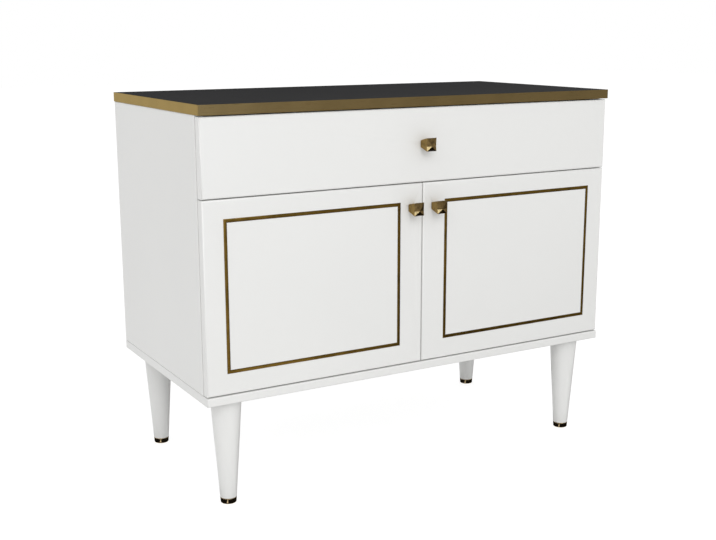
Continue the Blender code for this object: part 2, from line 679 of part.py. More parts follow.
def knob(name, x, level, carrier):
    """Flared four-sided knob, its face cut in eight facets round a low point, and its stud.

    Ridges run from the point to the corners of the face, and valleys to the middles of its sides.
    """
    foot = FACE - TOUCH
    head = foot - KNOB_REACH
    valley_share = KNOB_VALLEY / KNOB_REACH
    shape = bmesh.new()
    foot_ring, head_ring = [], []
    for right, up in ((-1, -1), (0, -1), (1, -1), (1, 0), (1, 1), (0, 1), (-1, 1), (-1, 0)):
        share = 0 if right and up else valley_share
        wide, tall = (h + (f - h) * share for f, h in zip(KNOB_FOOT_HALF, KNOB_HEAD_HALF))
        foot_ring.append(shape.verts.new((x + right * KNOB_FOOT_HALF[0], foot,
                                          level + up * KNOB_FOOT_HALF[1])))
        head_ring.append(shape.verts.new((x + right * wide, head + share * KNOB_REACH,
                                          level + up * tall)))
    shape.faces.new(foot_ring)
    point = shape.verts.new((x, head - KNOB_POINT, level))
    for here in range(len(head_ring)):
        there = (here + 1) % len(head_ring)
        shape.faces.new((foot_ring[there], foot_ring[here], head_ring[here], head_ring[there]))
        shape.faces.new((head_ring[there], head_ring[here], point))
    bmesh.ops.recalc_face_normals(shape, faces=shape.faces)
    sharp_edges = [e for e in shape.edges if e.calc_face_angle() > SMOOTH_ANGLE]
    bmesh.ops.bevel(shape, geom=sharp_edges, offset=KNOB_EDGE, segments=1, affect="EDGES")
    stud = rod_shape((x, foot - KNOB_POINT, level), (x, foot + KNOB_STUD_LENGTH, level),
                     KNOB_STUD_RADIUS)
    piece(name, shape, "antique_brass", (x, foot, level), carrier, joins=[stud], sharp=FACET_ANGLE)


# Doors

def inlay_bounds(side):
    """Outer rectangle of the groove, as low and high (x, z)."""
    hinge_side = side * (FRONT_HALF - INLAY_OUTER_MARGIN)
    meeting_side = side * (FRONT_GAP / 2 + INLAY_INNER_MARGIN)
    left, right = sorted((hinge_side, meeting_side))
    return (left, DOOR_LOW + INLAY_BOTTOM_MARGIN), (right, DOOR_HIGH - INLAY_TOP_MARGIN)


def door(name, side, carrier):
    """Door with a routed groove, two hinge-cup bores and a hole for its knob's stud."""
    left, right = sorted((side * FRONT_GAP / 2, side * FRONT_HALF))
    low, high = (left, FACE, DOOR_LOW), (right, FRONT_BACK, DOOR_HIGH)
    floor = FACE + INLAY_GROOVE_DEPTH
    section = [(0, FACE - BOARD), (INLAY_WIDTH, FACE - BOARD), (INLAY_WIDTH, floor), (0, floor)]
    groove = mitred_frame(*inlay_bounds(side), section)
    x = side * (FRONT_HALF - CUP_FROM_EDGE)
    bores = [rod_shape((x, FRONT_BACK - CUP_DEPTH - TOUCH, level), (x, FRONT_BACK + BOARD, level),
                       CUP_RADIUS + TOUCH, CUP_SIDES)
             for level in HINGE_LEVELS.values()]
    hole = stud_hole(side * DOOR_KNOB_PLACE, DOOR_KNOB_LEVEL)
    piece(f"door_{name}", front_shape(low, high), "white_lacquer", middle(low, high), carrier,
          cuts=[groove, *bores, hole])


def inlay(name, side, carrier):
    """Gold frame in the door's groove, mitred at its corners, with a rounded face."""
    half = INLAY_WIDTH / 2 - TOUCH
    bottom = FACE + INLAY_GROOVE_DEPTH - TOUCH
    section = [(INLAY_WIDTH - TOUCH, bottom), (TOUCH, bottom)]
    for angle in (180, 135, 90, 45, 0):
        turn = math.radians(angle)
        section.append((INLAY_WIDTH / 2 + half * math.cos(turn),
                        FACE + INLAY_SINK - INLAY_CROWN * math.sin(turn)))
    low, high = inlay_bounds(side)
    piece(f"inlay_{name}", mitred_frame(low, high, section), "gold_inlay",
          ((low[0] + high[0]) / 2, FACE, (low[1] + high[1]) / 2), carrier)


def bumper(name, side, carrier):
    """Clear dot behind the door's top corner, where the door meets the divider."""
    x = side * (FRONT_GAP / 2 + BUMPER_INSET)
    level = (DIVIDER_LOW + DOOR_HIGH) / 2
    start, end = (x, FRONT_BACK + TOUCH, level), (x, SIDE_FRONT - TOUCH, level)
    piece(f"bumper_{name}", rod_shape(start, end, BUMPER_RADIUS), "clear_rubber", start, carrier)


# Hinges

def hinge_cup(name, side, level, carrier):
    """Cup pressed in the door, with a rim and a screw flange on the door's rear face."""
    x = side * (FRONT_HALF - CUP_FROM_EDGE)
    seat = FRONT_BACK + TOUCH
    floor = (x, FRONT_BACK - CUP_DEPTH, level)
    rim_low = seat + CUP_BEAD - floor[1]
    rim_high = rim_low + FLANGE_SHEET
    profile = [(0, 0), (CUP_RADIUS, 0), (CUP_RADIUS, rim_low), (CUP_RADIUS + CUP_RIM, rim_low),
               (CUP_RADIUS + CUP_RIM, rim_high), (0, rim_high)]
    line = x - side * FLANGE_OFFSET
    low = (line - FLANGE_HALF_WIDTH, seat, level - FLANGE_HALF_HEIGHT)
    high = (line + FLANGE_HALF_WIDTH, seat + FLANGE_SHEET, level + FLANGE_HALF_HEIGHT)
    hollow = rod_shape((x, floor[1] + CUP_WALL, level), (x, seat + BOARD, level),
                       CUP_RADIUS - CUP_WALL, CUP_SIDES)
    holes = [rod_shape((line, seat - FLANGE_SHEET, level + up), (line, seat + BOARD, level + up),
                       HINGE_SCREW_RADIUS, HOLE_SIDES)
             for up in (-FLANGE_SCREW, FLANGE_SCREW)]
    piece(f"hinge_cup_{name}", turned_shape(profile, floor, (0, 1, 0), CUP_SIDES),
          "nickel_steel", (x, seat, level), carrier, joins=[box_shape(low, high)],
          cuts=[hollow, *holes])


def hinge_arm(name, side, level):
    """Stamped channel on its plate, whose nose dips into the cup.

    Its outline is drawn as (distance in from the cabinet's side, y).
    """
    outer = BOARD + ARM_OVER_SIDE
    foot = BOARD + ARM_FOOT_OVER_SIDE
    under = outer - ARM_SHEET
    cup = SIDE_INSET + CUP_FROM_EDGE
    nose = FRONT_BACK - ARM_NOSE_IN_CUP
    rear = SIDE_FRONT + ARM_REAR
    bend = SIDE_FRONT + ARM_BEND
    outline = [(foot, rear), (outer, rear), (outer, bend), (cup + 0.0035, nose + 0.0030),
               (cup + 0.0010, nose), (cup - 0.0025, nose + 0.0006), (cup - 0.0035, nose + 0.0070),
               (foot, bend)]
    inside = [(0, rear + BOARD), (under, rear + BOARD), (under, bend),
              (cup + 0.0020, nose + 0.0042), (0, nose + 0.0042)]

    def place(inward, y, up):
        return (side * (HALF - inward), y, level + up)

    shape = extruded_shape(outline, place, -ARM_HALF_WIDTH, ARM_HALF_WIDTH)
    hollow = ARM_HALF_WIDTH - ARM_SHEET
    piece(f"hinge_arm_{name}", shape, "nickel_steel", place(foot, bend, 0),
          cuts=[extruded_shape(inside, place, -hollow, hollow)])


def hinge_plate(name, side, level):
    """Cross-shaped mounting plate on the cabinet side, with a rail inside the arm."""
    line = SIDE_FRONT + PLATE_FROM_FRONT
    foot = BOARD + TOUCH
    rail_top = BOARD + ARM_OVER_SIDE - ARM_SHEET - TOUCH
    rail = ARM_HALF_WIDTH - ARM_SHEET - TOUCH
    wide, tall = PLATE_HALF_WIDTH, PLATE_WING_HALF_HEIGHT
    half = [(line + PLATE_REAR, wide), (line + wide, wide), (line + wide, tall),
            (line - wide, tall), (line - wide, wide), (line - PLATE_FRONT, wide)]
    outline = half + [(y, -up) for y, up in half[::-1]]
    front, rear = line - PLATE_FRONT + PLATE_SHEET, line + PLATE_REAR - PLATE_SHEET
    block = [(front, -rail), (rear, -rail), (rear, rail), (front, rail)]

    def place(y, up, inward):
        return (side * (HALF - inward), y, level + up)

    holes = [rod_shape(place(line, up, 0), place(line, up, rail_top), HINGE_SCREW_RADIUS, HOLE_SIDES)
             for up in (-PLATE_SCREW, PLATE_SCREW)]
    piece(f"hinge_plate_{name}", extruded_shape(outline, place, foot, foot + PLATE_SHEET),
          "nickel_steel", place(line, 0, foot),
          joins=[extruded_shape(block, place, foot + PLATE_SHEET / 2, rail_top)], cuts=holes)


def build():
    """Builds the cabinet, its drawer and its doors."""
    for obj in list(bpy.data.objects):
        bpy.data.objects.remove(obj, do_unlink=True)
    base_board()
    divider_board()
    back_panel()
    shelf()
    top_board()
    top_sheet()
    edge_bands()

    drawer_axis = axis_empty("drawer_axis", (0, FACE, DRAWER_FRONT_LOW))
    middle_axis = axis_empty("slide_middle_axis", (0, SLIDE_FRONT, SLIDE_LEVEL))
    drawer(drawer_axis)
    knob("drawer_knob", 0, DRAWER_KNOB_LEVEL, drawer_axis)

    for name, side in SIDES.items():
        side_panel(name, side)
        for row, y in LEG_PLACES.items():
            leg(f"{row}_{name}", side, y)
        for row, y in PIN_PLACES.items():
            shelf_pin(f"{row}_{name}", side, y)
        slides(name, side, middle_axis, drawer_axis)
        ball_cages(name, side, middle_axis)

        door_axis = axis_empty(f"door_axis_{name}", (side * DOOR_AXIS_X, DOOR_AXIS_Y, DOOR_LOW))
        door(name, side, door_axis)
        inlay(name, side, door_axis)
        knob(f"door_knob_{name}", side * DOOR_KNOB_PLACE, DOOR_KNOB_LEVEL, door_axis)
        bumper(name, side, door_axis)
        for row, level in HINGE_LEVELS.items():
            hinge_cup(f"{row}_{name}", side, level, door_axis)
            hinge_arm(f"{row}_{name}", side, level)
            hinge_plate(f"{row}_{name}", side, level)


build()
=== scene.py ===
"""Finishes, trim and hardware of a low cabinet, laid out as an add-on and run as a script.

Metres, +Z up, the front faces -Y. side is -1 for left and +1 for right. Every piece takes its
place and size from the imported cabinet, and its points are worked out in place.
"""
import json
import math

import bmesh
import bpy
import numpy as np
from bpy.props import FloatProperty, FloatVectorProperty, IntProperty, PointerProperty
from mathutils import Matrix, Vector


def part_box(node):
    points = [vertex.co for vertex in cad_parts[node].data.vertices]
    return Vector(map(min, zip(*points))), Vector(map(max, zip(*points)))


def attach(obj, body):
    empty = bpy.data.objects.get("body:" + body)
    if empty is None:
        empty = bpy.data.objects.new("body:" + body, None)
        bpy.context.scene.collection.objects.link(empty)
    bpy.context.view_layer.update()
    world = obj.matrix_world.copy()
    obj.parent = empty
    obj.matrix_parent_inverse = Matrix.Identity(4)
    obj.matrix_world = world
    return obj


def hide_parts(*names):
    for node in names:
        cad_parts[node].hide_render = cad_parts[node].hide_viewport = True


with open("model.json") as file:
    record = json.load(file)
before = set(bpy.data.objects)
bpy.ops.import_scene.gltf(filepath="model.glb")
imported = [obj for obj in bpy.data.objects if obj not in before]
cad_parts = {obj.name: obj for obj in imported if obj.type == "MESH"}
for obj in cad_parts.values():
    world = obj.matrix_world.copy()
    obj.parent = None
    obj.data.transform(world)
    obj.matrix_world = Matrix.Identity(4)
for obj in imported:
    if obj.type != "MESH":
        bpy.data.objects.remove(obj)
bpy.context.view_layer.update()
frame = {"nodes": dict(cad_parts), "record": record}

bl_info = {
    "name": "Low cabinet finishes",
    "version": (1, 0, 0),
    "blender": (4, 5, 0),
    "location": "3D View > Sidebar > Cabinet",
    "description": "Dresses a low cabinet in white lacquer, a black top, gold trim and brass knobs",
    "category": "Object",
}

SIDES = {"left": -1, "right": 1}
ROWS = ("front", "rear")
HINGES = ("lower", "upper")
WARM_EDGE = (0.94, 0.84, 0.60)   # what gold and brass mirror at a shallow angle
TOUCH = 0.0003                   # between pieces that rest on each other
CUP_BEAD = 0.0003                # from a hinge cup's flange to the top of its rim
POLE_WELD = 0.0000005            # how near the points of a pole lie
TWIN_WELD = 0.000002             # how near the points of a packed edge lie


# Sizes and colours that a user would change

def colour_property(name, description, default):
    """A colour with its default, in linear values."""
    return FloatVectorProperty(name=name, description=description, subtype="COLOR", size=3,
                               min=0.0, max=1.0, default=default)


def length_property(name, description, default):
    """A length in metres."""
    return FloatProperty(name=name, description=description, unit="LENGTH", min=0.0,
                         default=default, precision=5)


class CabinetColours(bpy.types.PropertyGroup):
    """Base colours of the finishes."""

    lacquer: colour_property("Lacquer", "Doors, drawer front, sides, base and legs",
                             (0.80, 0.80, 0.785))
    melamine: colour_property("Melamine", "Boards inside, shelf and back", (0.78, 0.78, 0.765))
    laminate: colour_property("Laminate", "Black sheet on the top", (0.024, 0.024, 0.0248))
    band: colour_property("Band", "Gold edge band round the top", (0.27, 0.190, 0.078))
    inlay: colour_property("Inlay", "Gold frames in the doors", (0.178, 0.106, 0.022))
    brass: colour_property("Brass", "Knobs", (0.27, 0.180, 0.072))
    bronze: colour_property("Bronze", "Ferrules on the leg tips", (0.50, 0.380, 0.220))
    zinc: colour_property("Zinc", "Drawer slides", (0.55, 0.56, 0.58))
    nickel: colour_property("Nickel", "Hinges, screws and shelf pins", (0.62, 0.60, 0.57))
    rubber: colour_property("Rubber", "Bumpers behind the doors", (0.72, 0.73, 0.75))


class TurnedSizes(bpy.types.PropertyGroup):
    """Legs and ferrules."""

    sides: IntProperty(name="Sides", description="Faces round a leg", min=12, default=96)
    shoulder_round: length_property("Shoulder", "Rounding of the leg's top edge", 0.0012)
    tip_round: length_property("Tip", "Rounding where the leg meets its ferrule", 0.0004)
    lip_round: length_property("Lip", "Rounding of the ferrule's upper edge", 0.0010)
    sole_round: length_property("Sole", "Rounding of the ferrule's lower edge", 0.0016)
    ferrule_wall: length_property("Ferrule wall", "Thickness of the ferrule", 0.0012)


class TrimSizes(bpy.types.PropertyGroup):
    """Knobs and door inlays."""

    facet_round: length_property("Facet", "Rounding of the knob's edges", 0.00022)
    valley: length_property("Valley", "Middle of a face side, behind its corners", 0.0009)
    point: length_property("Point", "Middle of the face, ahead of its corners", 0.0018)
    point_drop: length_property("Point drop", "Where the facets meet, below the middle", 0.0035)
    foot_width: FloatProperty(name="Foot width", description="Foot by face, from side to side",
                              min=0.1, max=1.0, default=0.664)
    foot_height: FloatProperty(name="Foot height", description="Foot by face, from low to high",
                               min=0.1, max=1.0, default=0.516)
    inlay_width: length_property("Inlay width", "Width of the gold frame", 0.0064)
    inlay_crown: length_property("Inlay crown", "Rise of its rounded face", 0.0007)


class ScrewSizes(bpy.types.PropertyGroup):
    """Screw heads with a cross recess."""

    head_radius: length_property("Head", "Radius of a pan head", 0.0036)
    head_height: length_property("Height", "Height of a pan head", 0.0015)
    recess_depth: length_property("Recess", "Depth of the cross", 0.0010)
    sides: IntProperty(name="Sides", description="Points round a head", min=12, default=48)


class StageSettings(bpy.types.PropertyGroup):
    """Floor, lamps and camera."""

    floor_size: length_property("Floor", "Length of the floor's side", 30.0)
    ambient: FloatProperty(name="Ambient", description="Light from all round", default=0.785)
    key_power: FloatProperty(name="Key", description="Front lamp", unit="POWER", default=60.0)
    side_power: FloatProperty(name="Side", description="Left lamp", unit="POWER", default=6.5)
    floor_glow: FloatProperty(name="Floor glow", description="White the camera sees in the floor",
                              default=0.80)
    lens: FloatProperty(name="Lens", description="Focal length in mm", default=55.52)
    camera_place: FloatVectorProperty(name="Camera", description="Place of the camera",
                                      subtype="TRANSLATION", size=3,
                                      default=(-1.1467, -1.9434, 0.8586))
    camera_yaw: FloatProperty(name="Yaw", description="Turn from straight ahead",
                              subtype="ANGLE", default=math.radians(-30.032))
    camera_pitch: FloatProperty(name="Pitch", description="Tilt below the horizon",
                                subtype="ANGLE", default=math.radians(12.336))
    camera_roll: FloatProperty(name="Roll", description="Turn about the line of sight",
                               subtype="ANGLE", default=math.radians(-0.111))


GROUPS = {
    "cabinet_colours": CabinetColours,
    "cabinet_turned": TurnedSizes,
    "cabinet_trim": TrimSizes,
    "cabinet_screws": ScrewSizes,
    "cabinet_stage": StageSettings,
}


# Shader groups

def add_node(tree, kind, inputs=None, **settings):
    """A node with its settings and the values of its unlinked inputs."""
    node = tree.nodes.new(kind)
    for name, value in settings.items():
        setattr(node, name, value)
    for name, value in (inputs or {}).items():
        node.inputs[name].default_value = value
    return node


def new_group(name, inputs, outputs):
    """An empty shader group with named sockets, and its two end nodes."""
    group = bpy.data.node_groups.new(name, "ShaderNodeTree")
    for socket, kind in inputs.items():
        group.interface.new_socket(socket, in_out="INPUT", socket_type=kind)
    for socket, kind in outputs.items():
        group.interface.new_socket(socket, in_out="OUTPUT", socket_type=kind)
    return group, group.nodes.new("NodeGroupInput"), group.nodes.new("NodeGroupOutput")


def noise_of_size(tree, place, size, detail):
    """Noise on a place, whose lumps are about as wide as size says."""
    scale = add_node(tree, "ShaderNodeMath", {0: 1.0}, operation="DIVIDE")
    noise = add_node(tree, "ShaderNodeTexNoise", {"Detail": detail})
    tree.links.new(size, scale.inputs[1])
    tree.links.new(place, noise.inputs["Vector"])
    tree.links.new(scale.outputs[0], noise.inputs["Scale"])
    return noise.outputs["Fac"]


def value_round(tree, middle, spread, mask):
    """Middle value plus spread times (mask - 0.5)."""
    centred = add_node(tree, "ShaderNodeMath", {1: 0.5}, operation="SUBTRACT")
    scaled = add_node(tree, "ShaderNodeMath", operation="MULTIPLY_ADD")
    tree.links.new(mask, centred.inputs[0])
    tree.links.new(centred.outputs[0], scaled.inputs[0])
    tree.links.new(spread, scaled.inputs[1])
    tree.links.new(middle, scaled.inputs[2])
    return scaled.outputs[0]


def mixed_colour(tree, first, second, share):
    """Mix of two colours by a share from 0 to 1."""
    mix = add_node(tree, "ShaderNodeMix", data_type="RGBA", clamp_factor=True)
    tree.links.new(share, mix.inputs["Factor"])
    tree.links.new(first, mix.inputs[6])
    tree.links.new(second, mix.inputs[7])
    return mix.outputs[2]


def coated_surface_group():
    """Painted, faced and moulded surfaces: a fine skin texture and broad, faint patches.

    Colour goes from Colour to Deep Colour by the broad noise, Roughness varies with it, and
    Height is the fine noise.
    """
    group, start, end = new_group(
        "coated_surface",
        {"Colour": "NodeSocketColor", "Deep Colour": "NodeSocketColor",
         "Fine Size": "NodeSocketFloat", "Broad Size": "NodeSocketFloat",
         "Roughness": "NodeSocketFloat", "Roughness Spread": "NodeSocketFloat"},
        {"Colour": "NodeSocketColor", "Roughness": "NodeSocketFloat",
         "Height": "NodeSocketFloat"})
    place = add_node(group, "ShaderNodeTexCoord").outputs["Object"]
    broad = noise_of_size(group, place, start.outputs["Broad Size"], detail=3.0)
    fine = noise_of_size(group, place, start.outputs["Fine Size"], detail=2.0)
    colour = mixed_colour(group, start.outputs["Colour"], start.outputs["Deep Colour"], broad)
    rough = value_round(group, start.outputs["Roughness"], start.outputs["Roughness Spread"],
                        broad)
    group.links.new(colour, end.inputs["Colour"])
    group.links.new(rough, end.inputs["Roughness"])
    group.links.new(fine, end.inputs["Height"])
    return group


def drawn_metal_group():
    """Metals: fine lines drawn along one direction, over patches of a darker patina.

    Stretch divides the place along each axis, so lines run along the axis with a small value.
    """
    group, start, end = new_group(
        "drawn_metal",
        {"Colour": "NodeSocketColor", "Patina": "NodeSocketColor",
         "Patina Size": "NodeSocketFloat", "Patina Edge": "NodeSocketFloat",
         "Line Size": "NodeSocketFloat", "Stretch": "NodeSocketVector",
         "Roughness": "NodeSocketFloat", "Roughness Spread": "NodeSocketFloat"},
        {"Colour": "NodeSocketColor", "Roughness": "NodeSocketFloat",
         "Height": "NodeSocketFloat"})
    place = add_node(group, "ShaderNodeTexCoord").outputs["Object"]
    stretched = add_node(group, "ShaderNodeMapping")
    group.links.new(place, stretched.inputs["Vector"])
    group.links.new(start.outputs["Stretch"], stretched.inputs["Scale"])
    lines = noise_of_size(group, stretched.outputs["Vector"], start.outputs["Line Size"],
                          detail=3.0)
    patches = noise_of_size(group, place, start.outputs["Patina Size"], detail=4.0)
    full_patina = 0.75
    share = add_node(group, "ShaderNodeMapRange",
                     {"From Max": full_patina, "To Min": 0.0, "To Max": 1.0},
                     interpolation_type="SMOOTHSTEP")
    group.links.new(patches, share.inputs["Value"])
    group.links.new(start.outputs["Patina Edge"], share.inputs["From Min"])
    colour = mixed_colour(group, start.outputs["Colour"], start.outputs["Patina"],
                          share.outputs["Result"])
    rough = value_round(group, start.outputs["Roughness"], start.outputs["Roughness Spread"],
                        lines)
    group.links.new(colour, end.inputs["Colour"])
    group.links.new(rough, end.inputs["Roughness"])
    group.links.new(lines, end.inputs["Height"])
    return group


# Materials

def shader_group(name):
    """The shader group of that name, made the first time it is used."""
    makers = {"coated_surface": coated_surface_group, "drawn_metal": drawn_metal_group}
    return bpy.data.node_groups.get(name) or makers[name]()


def finish_material(name, group, values, bump, metallic=0.0, specular=0.5, edge=(1, 1, 1)):
    """A Principled material fed by one group. bump is (strength, distance).

    edge tints what a metal mirrors at a shallow angle.
    """
    made = bpy.data.materials.get(f"{name}_finish")
    if made:
        return made
    material = bpy.data.materials.new(f"{name}_finish")
    material.use_nodes = True
    tree = material.node_tree
    shader = tree.nodes["Principled BSDF"]
    shader.inputs["Metallic"].default_value = metallic
    shader.inputs["Specular IOR Level"].default_value = specular
    shader.inputs["Specular Tint"].default_value = (*edge, 1.0)
    source = add_node(tree, "ShaderNodeGroup", node_tree=shader_group(group))
    for socket, value in values.items():
        source.inputs[socket].default_value = value
    relief = add_node(tree, "ShaderNodeBump", {"Strength": bump[0], "Distance": bump[1]})
    tree.links.new(source.outputs["Height"], relief.inputs["Height"])
    tree.links.new(source.outputs["Colour"], shader.inputs["Base Color"])
    tree.links.new(source.outputs["Roughness"], shader.inputs["Roughness"])
    tree.links.new(relief.outputs["Normal"], shader.inputs["Normal"])
    material.diffuse_color = values["Colour"]
    return material


def shade(colour, factor=1.0):
    """A colour socket's value, darkened by a factor."""
    return (*(channel * factor for channel in colour), 1.0)


def coated(name, colour, deep, fine, broad, roughness, spread, bump, specular=0.5):
    """Material of a painted, faced or moulded surface.

    deep darkens the colour in its patches, and fine and broad are the sizes of its two textures.
    """
    values = {"Colour": shade(colour), "Deep Colour": shade(colour, deep), "Fine Size": fine,
              "Broad Size": broad, "Roughness": roughness, "Roughness Spread": spread}
    return finish_material(name, "coated_surface", values, bump, specular=specular)


def metal(name, colour, patina, size, begins, line, roughness, spread, bump,
          stretch=(1.0, 1.0, 1.0), edge=(1, 1, 1)):
    """Material of a metal with drawn lines and patina.

    patina darkens the colour in patches of that size, which begin at a level of their noise. line
    is the size of the lines, and stretch draws them out.
    """
    values = {"Colour": shade(colour), "Patina": shade(colour, patina), "Patina Size": size,
              "Patina Edge": begins, "Line Size": line, "Stretch": stretch,
              "Roughness": roughness, "Roughness Spread": spread}
    return finish_material(name, "drawn_metal", values, bump, metallic=1.0, edge=edge)


def colours():
    """The scene's finish colours."""
    return bpy.context.scene.cabinet_colours


def white_lacquer():
    """Satin white lacquer with a faint sprayed skin."""
    return coated("white_lacquer", colours().lacquer, deep=0.975, fine=0.0016, broad=0.22,
                  roughness=0.36, spread=0.08, bump=(0.12, 0.00004))


def white_melamine():
    """White faced board with a fine pearl texture."""
    return coated("white_melamine", colours().melamine, deep=0.965, fine=0.0005, broad=0.15,
                  roughness=0.50, spread=0.10, bump=(0.25, 0.00005))


def black_laminate():
    """Satin black sheet with a fine even grain."""
    return coated("black_laminate", colours().laminate, deep=0.78, fine=0.0007, broad=0.30,
                  roughness=0.55, spread=0.08, bump=(0.22, 0.00005), specular=0.08)


def gold_band(axis):
    """Gold edge band with fine lines along its run, which is axis 0 or 1."""
    stretch = [1.0, 1.0, 1.0]
    stretch[axis] = 0.02
    return metal(f"gold_band_{'xy'[axis]}", colours().band, patina=0.90, size=0.060, begins=0.35,
                 line=0.0006, roughness=0.30, spread=0.14, bump=(0.15, 0.00004), stretch=stretch,
                 edge=WARM_EDGE)


def gold_inlay():
    """Darker gold of the thin door frames."""
    return metal("gold_inlay", colours().inlay, patina=0.62, size=0.022, begins=0.38,
                 line=0.0008, roughness=0.32, spread=0.12, bump=(0.12, 0.00003), edge=WARM_EDGE)


def antique_brass():
    """Polished brass with darker patina in patches."""
    return metal("antique_brass", colours().brass, patina=0.50, size=0.006, begins=0.42,
                 line=0.0009, roughness=0.16, spread=0.08, bump=(0.10, 0.00003),
                 stretch=(1.0, 0.15, 1.0), edge=WARM_EDGE)


def polished_bronze():
    """Polished metal with fine turned rings, which mirrors the dark round the leg tips."""
    return metal("polished_bronze", colours().bronze, patina=0.62, size=0.008, begins=0.40,
                 line=0.0006, roughness=0.16, spread=0.06, bump=(0.15, 0.00003),
                 stretch=(0.05, 0.05, 1.0), edge=WARM_EDGE)


def zinc_steel():
    """Zinc-plated sheet drawn along the slide, with faint clouding."""
    return metal("zinc_steel", colours().zinc, patina=0.82, size=0.012, begins=0.35,
                 line=0.0007, roughness=0.30, spread=0.12, bump=(0.12, 0.00003),
                 stretch=(1.0, 0.03, 1.0))


def nickel_steel():
    """Nickel-plated stamped steel."""
    return metal("nickel_steel", colours().nickel, patina=0.85, size=0.010, begins=0.40,
                 line=0.0010, roughness=0.22, spread=0.10, bump=(0.08, 0.00003))


def clear_rubber():
    """Soft clear plastic."""
    return coated("clear_rubber", colours().rubber, deep=0.92, fine=0.0008, broad=0.004,
                  roughness=0.28, spread=0.06, bump=(0.10, 0.00003))


# Surfaces

def grid_faces(rows, columns, wrap_rows=False):
    """Quads between neighbouring points of a grid, closed round each row."""
    row = np.arange(rows if wrap_rows else rows - 1)[:, None]
    column = np.arange(columns)[None, :]
    next_row, next_column = (row + 1) % rows, (column + 1) % columns
    corners = (row * columns + column, row * columns + next_column,
               next_row * columns + next_column, next_row * columns + column)
    return np.stack(np.broadcast_arrays(*corners), axis=-1).reshape(-1, 4)


def joined_grids(grids, wrap_rows=False):
    """One array of points and one of faces for several grids of the same size."""
    grids = np.asarray(grids, dtype=float)
    count, rows, columns = grids.shape[:3]
    faces = grid_faces(rows, columns, wrap_rows)
    shift = np.arange(count)[:, None, None] * rows * columns
    return grids.reshape(-1, 3), (faces[None] + shift).reshape(-1, 4)


def joined_shapes(grids):
    """One array of points and one of faces for surfaces of different sizes."""
    starts = np.cumsum([0] + [grid.shape[0] * grid.shape[1] for grid in grids[:-1]])
    points = np.concatenate([grid.reshape(-1, 3) for grid in grids])
    faces = [grid_faces(*grid.shape[:2]) + start for grid, start in zip(grids, starts)]
    return points, np.concatenate(faces)


def closed_mesh(name, points, faces):
    """A mesh whose poles are welded and whose faces point outwards."""
    mesh = bpy.data.meshes.new(name)
    mesh.from_pydata(points.tolist(), [], faces.tolist())
    tidy = bmesh.new()
    tidy.from_mesh(mesh)
    bmesh.ops.remove_doubles(tidy, verts=tidy.verts, dist=POLE_WELD)
    bmesh.ops.recalc_face_normals(tidy, faces=tidy.faces)
    tidy.to_mesh(mesh)
    tidy.free()
    return mesh


def add_piece(name, mesh, material, body, stands_for=(), sharp=math.radians(32)):
    """Adds a finished piece, smooth but for its sharp edges, to the body that carries it."""
    obj = bpy.data.objects.new(name, mesh)
    bpy.context.scene.collection.objects.link(obj)
    mesh.materials.clear()
    mesh.materials.append(material)
    mesh.shade_smooth()
    mesh.set_sharp_from_angle(angle=sharp)
    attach(obj, body)
    if stands_for:
        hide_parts(*stands_for)
    return obj


def body_of_node(node):
    """Name of the body that a node belongs to."""
    bodies = frame["record"]["behaviour"]["bodies"]
    return next(body for body, nodes in bodies.items() if node in nodes)


def paint(nodes, material):
    """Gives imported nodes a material."""
    for node in nodes:
        mesh = frame["nodes"][node].data
        mesh.materials.clear()
        mesh.materials.append(material)


def smooth_twin(node, material):
    """A welded copy of a node with smooth rounded edges and flat faces, shown in its place."""
    mesh = frame["nodes"][node].data.copy()
    tidy = bmesh.new()
    tidy.from_mesh(mesh)
    bmesh.ops.remove_doubles(tidy, verts=tidy.verts, dist=TWIN_WELD)
    tidy.to_mesh(mesh)
    tidy.free()
    obj = add_piece(f"{node}_skin", mesh, material, body_of_node(node), (node,))
    weighted = obj.modifiers.new("flat_faces", "WEIGHTED_NORMAL")
    weighted.weight = 100
    weighted.keep_sharp = True


def rounded_profile(corners):
    """Points of a profile of (radius, height, cut).

    Each corner with a cut becomes the short parabola (1-t)^2 A + 2t(1-t) C + t^2 B, where C is
    the corner and A and B lie on its two sides at the cut.
    """
    steps = 6
    corners = np.asarray(corners, dtype=float)
    places, cuts = corners[:, :2], corners[:, 2]
    share = np.linspace(0, 1, steps)[:, None]
    rows = []
    for index, cut in enumerate(cuts):
        corner = places[index]
        if cut <= 0:
            rows.append(corner[None])
            continue
        back, ahead = places[index - 1] - corner, places[index + 1] - corner
        start = corner + back / np.linalg.norm(back) * cut
        end = corner + ahead / np.linalg.norm(ahead) * cut
        rows.append((1 - share) ** 2 * start + 2 * share * (1 - share) * corner
                    + share ** 2 * end)
    return np.concatenate(rows)


def turned_grid(profile, foot, sides, axis=(0, 0, 1)):
    """Surface of revolution: (r cos a, r sin a, h), with h along the axis from the foot."""
    angle = np.linspace(0, math.tau, sides, endpoint=False)
    radius, height = profile[:, :1], profile[:, 1:]
    local = np.stack(np.broadcast_arrays(radius * np.cos(angle), radius * np.sin(angle), height),
                     axis=-1)
    return local @ axis_turn(axis).T + np.asarray(foot, dtype=float)


def axis_turn(axis):
    """Rotation that brings +Z onto an axis."""
    return np.array(Vector(axis).to_track_quat("Z", "Y").to_matrix())


